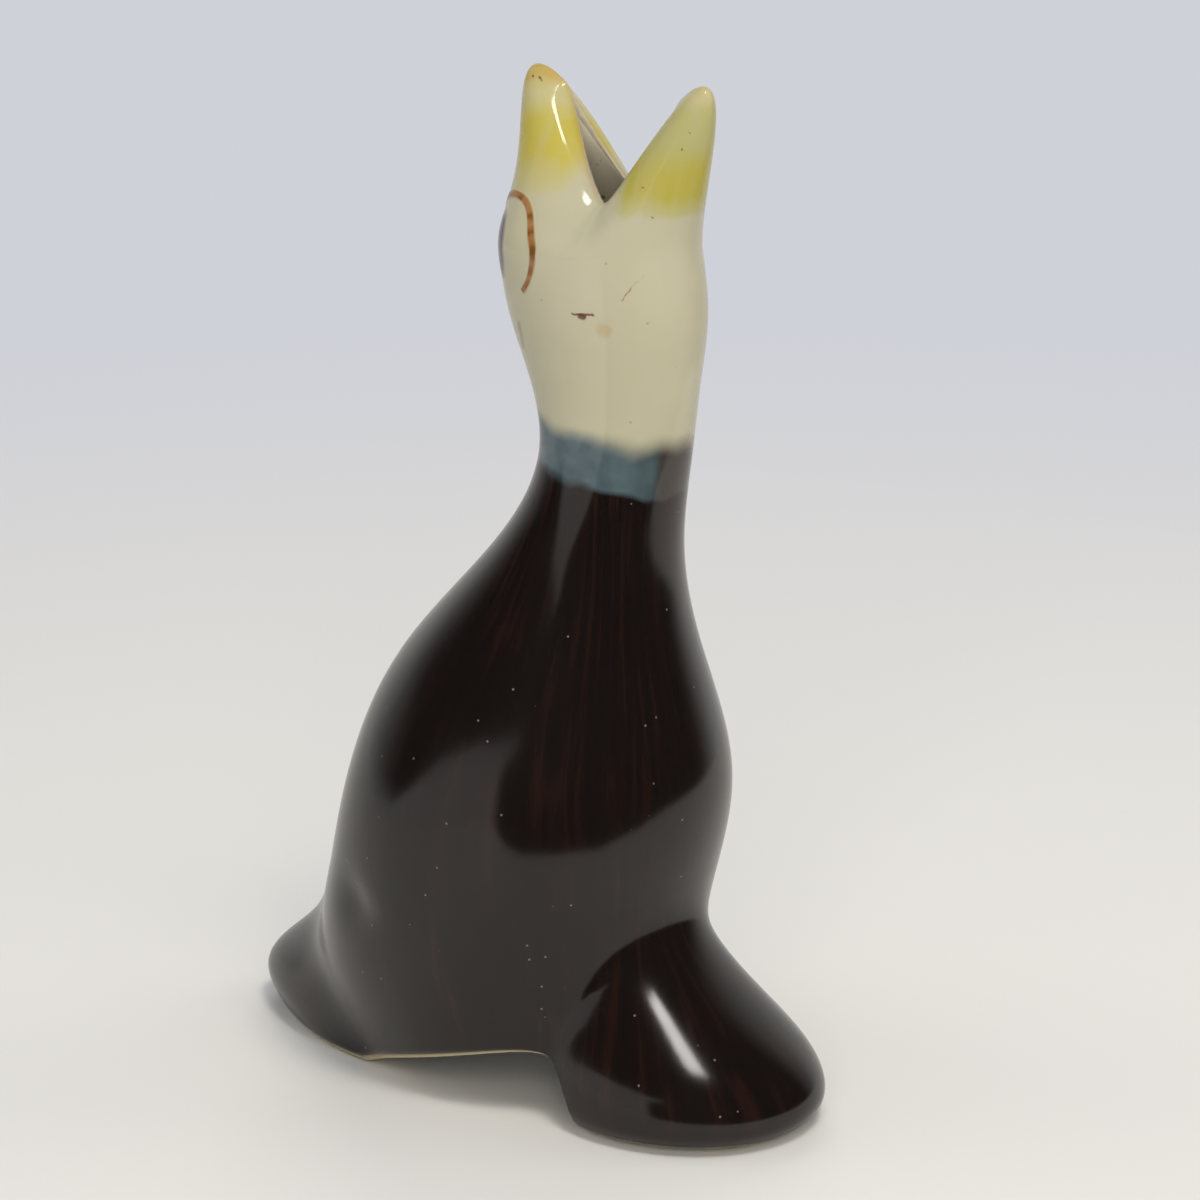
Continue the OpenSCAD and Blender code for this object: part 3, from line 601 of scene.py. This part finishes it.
# The dab is a square grid drawn in to an oval, each side bowed out to the circle.
dab_half, dab_up, dab_shift = 1.8, 3.6, np.radians(5) * brow_back
u, v = np.meshgrid(np.linspace(-1, 1, 25), np.linspace(-1, 1, 25))
disc_x, disc_y = u * np.sqrt(1 - v**2 / 2), v * np.sqrt(1 - u**2 / 2)
radius = np.minimum(np.hypot(disc_x, disc_y), 1)
dab_film = dab_t * np.sqrt(1 - 0.96 * radius**2)
dab_held = np.ones(u.shape, bool)[1:]
dab_held[:, -1] = False
for side, word in ((-1, "right"), (1, "left")):
    breadth, tall = ring_half + stroke_width * across, ring_up + stroke_width * across
    layers = [eye_skin(-np.cos(sweep) * breadth, np.sin(sweep) * tall - sag, lift, side)
              for lift in (film, -sunk + 0 * film)]
    if side > 0:
        layers = [g[:, ::-1] for g in layers]
    stroke = shell(word + "_eye_stroke", *layers, ring_held, np.stack([sweep, np.abs(across), across], -1))
    # Brown brush colour: light orange-brown where it is thin, darker where the brush paused, and faded out
    # into the cream along both sides.
    tree, paint = fired("brown_brush_colour_" + word, stroke, IOR=1.5)
    place = add(tree, "TexCoord", out=3)
    pool = add(tree, "TexNoise", {"Vector": place, "Scale": 1 / 0.0014, "Detail": 3.0})
    deep = add(tree, "MapRange", {0: pool, 1: 0.42, 2: 0.7}, **softly)
    tint = add(tree, "Mix", {0: deep, 6: linear("#a07444"), 7: linear("#744720")}, **of_colours)
    way = add(tree, "Attribute", out=1, attribute_name="brush")
    out_from_middle = add(tree, "SeparateXYZ", [way], out=1)
    faded = add(tree, "MapRange", {0: out_from_middle, 1: 0.5, 2: 1.0, 3: 0.0, 4: 0.9}, **softly)
    soft = add(tree, "Mix", {0: faded, 6: tint, 7: specked_cream(tree, place)}, **of_colours)
    tree.links.new(soft, paint["Base Color"])
    uneven(tree, paint, place, 0.08)
    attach(stroke, "root")
    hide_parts(word + "_eye_ring")

    dab_layers = [eye_skin(dab_shift + dab_half * disc_x, dab_up * disc_y, lift, side)
                  for lift in (dab_film, -sunk + 0 * dab_film)]
    if side < 0:
        dab_layers = [g[:, ::-1] for g in dab_layers]
    dab = shell(word + "_pupil_dab", *dab_layers, dab_held, np.stack([radius, disc_x, disc_y], -1))
    # Purple-grey brush colour, mottled, and thinner at its border.
    tree, paint = fired("purple_grey_brush_colour_" + word, dab, IOR=1.5)
    place = add(tree, "TexCoord", out=3)
    pool = add(tree, "TexNoise", {"Vector": place, "Scale": 1 / 0.0015, "Detail": 3.0})
    tint = add(tree, "Mix", {0: pool, 6: linear("#524957"), 7: linear("#7a6f7b")}, **of_colours)
    way = add(tree, "Attribute", out=1, attribute_name="brush")
    out_from_middle = add(tree, "SeparateXYZ", [way], out=0)
    faded = add(tree, "MapRange", {0: out_from_middle, 1: 0.75, 2: 1.0, 3: 0.0, 4: 0.7}, **softly)
    soft = add(tree, "Mix", {0: faded, 6: tint, 7: specked_cream(tree, place)}, **of_colours)
    tree.links.new(soft, paint["Base Color"])
    uneven(tree, paint, place, 0.08)
    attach(dab, "root")
    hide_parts(word + "_pupil")


# Stage.
# The bird stands on matt white card that fades into a pale blue-grey distance. A dim room stands round the
# camera's side and shows only in the gloss.
def sheet_of(name, points, faces):
    """A stage surface from corner points."""
    mesh = bpy.data.meshes.new(name)
    mesh.from_pydata(points, [], faces)
    thing = bpy.data.objects.new(name, mesh)
    bpy.context.scene.collection.objects.link(thing)
    return thing


def seen_by_eye(tree):
    """1 for rays from the camera, by way of gloss or glass as well, and 0 for those that carry light."""
    straight, mirrored, through_glass = (add(tree, "LightPath", out=k) for k in (0, 3, 6))
    either = add(tree, "Math", [straight, mirrored], operation="MAXIMUM")
    return add(tree, "Math", [either, through_glass], operation="MAXIMUM")


def mirrored_only(thing):
    """A stage surface that shows in the gloss and nowhere else."""
    thing.visible_camera = thing.visible_diffuse = thing.visible_shadow = thing.visible_transmission = False


# The floor does not show in the gloss. In its place a grey card does, which reaches as far each way, by
# turn from the front, as the table that the photograph's bird mirrors.
floor_half, floor_z, card_z = 40.0, -0.0003, -0.00002
floor_corners = [(x * floor_half, y * floor_half, floor_z) for x, y in ((-1, -1), (1, -1), (1, 1), (-1, 1))]
floor = sheet_of("wide_floor", floor_corners, [(0, 1, 2, 3)])
floor.visible_glossy = False
corner = np.arange(-180, 180, 2)
far = np.interp(corner, [-180, -165, -130, -60, -52, 9, 13, 19, 28, 48, 69, 92, 109, 122, 154, 180],
                [0.25, 0.25, 0.30, 0.40, 0.31, 0.31, 0.172, 0.116, 0.093, 0.084, 0.082, 0.108, 0.152, 0.178,
                 0.23, 0.25])
corner = np.radians(corner)
card_edge = np.stack([far * np.sin(corner), -far * np.cos(corner), np.full_like(far, card_z)], -1)
card = sheet_of("mirrored_card", card_edge, [tuple(range(len(far)))])
mirrored_only(card)
paper = fired("matt_grey_card", card, Roughness=0.9)[1]
paper["Base Color"].default_value = linear("#d9d5cd")
tree, paper = fired("matt_white_card", floor, Roughness=0.9, IOR=1.45)
paper["Base Color"].default_value = linear("#e8e5de")
place = add(tree, "TexCoord", out=3)
away = add(tree, "VectorMath", [place], out=1, operation="LENGTH")
distant = add(tree, "MapRange", {0: away, 1: 0.10, 2: 0.45}, **softly)
share = add(tree, "Math", [distant, seen_by_eye(tree)], operation="MULTIPLY")
pale = add(tree, "Emission", {"Color": linear("#cfd1d9"), "Strength": 1.0})
faded = add(tree, "MixShader", [share, tree.nodes["Principled BSDF"].outputs[0], pale])
tree.links.new(faded, tree.nodes["Material Output"].inputs["Surface"])


def gradual(value, edge, width):
    """Smooth step from 0 below an edge to 1 above it, over a width."""
    t = np.clip((value - edge) / width + 0.5, 0, 1)
    return t * t * (3 - 2 * t)


def walls_of(thing, pale):
    """Makes a surface of the room glow from dim, 0, to pale, 1, point by point; it shows only in the gloss,
    as a painted reflection.
    """
    thing.data.attributes.new("pale", "FLOAT", "POINT")
    thing.data.attributes["pale"].data.foreach_set("value", pale.ravel())
    mirrored_only(thing)
    tree, paint = fired(thing.name + "_walls", thing, Roughness=1.0)
    paint["Base Color"].default_value = linear("#000000")
    paint["Emission Color"].default_value = linear("#f4f2ee")
    share = add(tree, "Attribute", out=2, attribute_name="pale")
    tree.links.new(add(tree, "MapRange", {0: share, 3: 0.012, 4: 0.70}), paint["Emission Strength"])
    thing.data.materials[0].cycles.emission_sampling = "NONE"


def tiles(rows, cols):
    """Square faces of a grid of points."""
    spot = np.arange(rows * cols).reshape(rows, cols)
    return np.stack([spot[:-1, :-1], spot[:-1, 1:], spot[1:, 1:], spot[1:, :-1]], -1).reshape(-1, 4)


# Dim room, by turn from the front and rise over the table, in degrees: it ends in pale walls on both sides,
# and its ceiling is dim all round.
room_r = 1.6
turn, rise = np.meshgrid(np.linspace(-180, 180, 361), np.linspace(-90, 90, 181))
floor_end = np.interp(turn, [-50, -35], [-3, -42])
left_end = -84 - 8 * gradual(rise, 14, 12)
dim = gradual(turn, left_end, 60) * gradual(-turn, -160, 36) * gradual(rise, floor_end, 8)
dim = np.maximum(dim, gradual(rise, 52, 16))
around, above = np.radians(turn), np.radians(rise)
dome = np.stack([np.sin(around) * np.cos(above), -np.cos(around) * np.cos(above), np.sin(above)], -1)
walls_of(sheet_of("dim_room", room_r * dome.reshape(-1, 3), tiles(*turn.shape)), 1 - dim)

# Pale board on the left, 300 mm from the bird, glowing and seen only in the gloss as a painted pale
# reflection: its left side slants up and its right side leans out at the top. Heights are in millimetres
# and turns in degrees.
board_far = 0.3
tall = np.linspace(0, 135, 43)
left_end = np.interp(tall, [0, 39, 85, 120, 135], [-60, -46, -30, -6, 19])
right_end = np.interp(tall, [0, 80, 101, 129, 135], [9, 9, 12, 21, 20])
bend = np.radians(left_end + (right_end - left_end) * np.linspace(0, 1, 25)[:, None])
board_z = np.broadcast_to(tall / 1000, bend.shape)
board = np.stack([board_far * np.sin(bend), -board_far * np.cos(bend), board_z], -1)
walls_of(sheet_of("pale_board", board.reshape(-1, 3), tiles(*bend.shape)), np.ones(bend.size))

# Pale room light, dimmer as light than as it is seen.
world = bpy.data.worlds.new("pale_room")
bpy.context.scene.world = world
world.use_nodes = True
tree = world.node_tree
tree.nodes["Background"].inputs["Color"].default_value = linear("#d3def5")
strength = add(tree, "MapRange", {0: seen_by_eye(tree), 3: 0.33, 4: 0.95})
tree.links.new(strength, tree.nodes["Background"].inputs["Strength"])


def lamp(name, place, width, power, mirrored):
    """A soft square lamp aimed at the bird; mirrored says whether the gloss shows it."""
    light = bpy.data.lights.new(name, "AREA")
    light.shape, light.size, light.energy, light.color = "SQUARE", width, power, (1.0, 0.97, 0.92)
    thing = bpy.data.objects.new(name, light)
    thing.location = place
    thing.rotation_euler = (Vector((0, 0, 0.05)) - Vector(place)).to_track_quat("-Z", "Y").to_euler()
    thing.visible_glossy = mirrored
    bpy.context.scene.collection.objects.link(thing)


# Only the ceiling lamp shows in the gloss. The key comes from the same side, the fill from behind the
# camera, and four weak lamps light the sides and back.
lamp("ceiling_lamp", (0.345, -0.20, 0.80), 0.15, 1.1, True)
lamp("key_softbox", (0.365, -0.21, 0.85), 0.35, 2.5, False)
lamp("front_fill", (0.485, -0.69, 0.37), 0.50, 3.2, False)
lamp("left_softbox", (-0.75, -0.45, 0.60), 0.60, 1.2, False)
lamp("right_softbox", (0.85, -0.30, 0.55), 0.60, 1.0, False)
lamp("back_left_softbox", (-0.45, 0.65, 0.65), 0.60, 2.4, False)
lamp("back_right_softbox", (0.60, 0.60, 0.60), 0.60, 1.4, False)


# Camera at the photograph's angle, aimed at the middle of its frame. The focal length and the aim's shift
# are in pixels of the photograph.
photo_px, focal_px, right_px, down_px = 1200, 4009.8, 30.44, 18.97
view_angle, view_rise, view_far = np.radians(38.26), np.radians(15.36), 0.42016
look_at = np.array([0.0059, 0, 0.055])
level_back = np.array([np.sin(view_angle), -np.cos(view_angle), 0]) * np.cos(view_rise)
back = level_back + np.array([0, 0, np.sin(view_rise)])
right = np.array([np.cos(view_angle), np.sin(view_angle), 0])
up = np.cross(back, right)
aim = -back + right * (right_px / focal_px) - up * (down_px / focal_px)
camera = bpy.data.cameras.new("camera")
camera.sensor_width = 36.0
camera.lens = camera.sensor_width * focal_px / photo_px
viewer = bpy.data.objects.new("camera", camera)
viewer.location = look_at + back * view_far
viewer.rotation_euler = Vector(aim).to_track_quat("-Z", "Y").to_euler()
bpy.context.scene.collection.objects.link(viewer)
bpy.context.scene.camera = viewer
bpy.context.scene.view_settings.view_transform = "Standard"
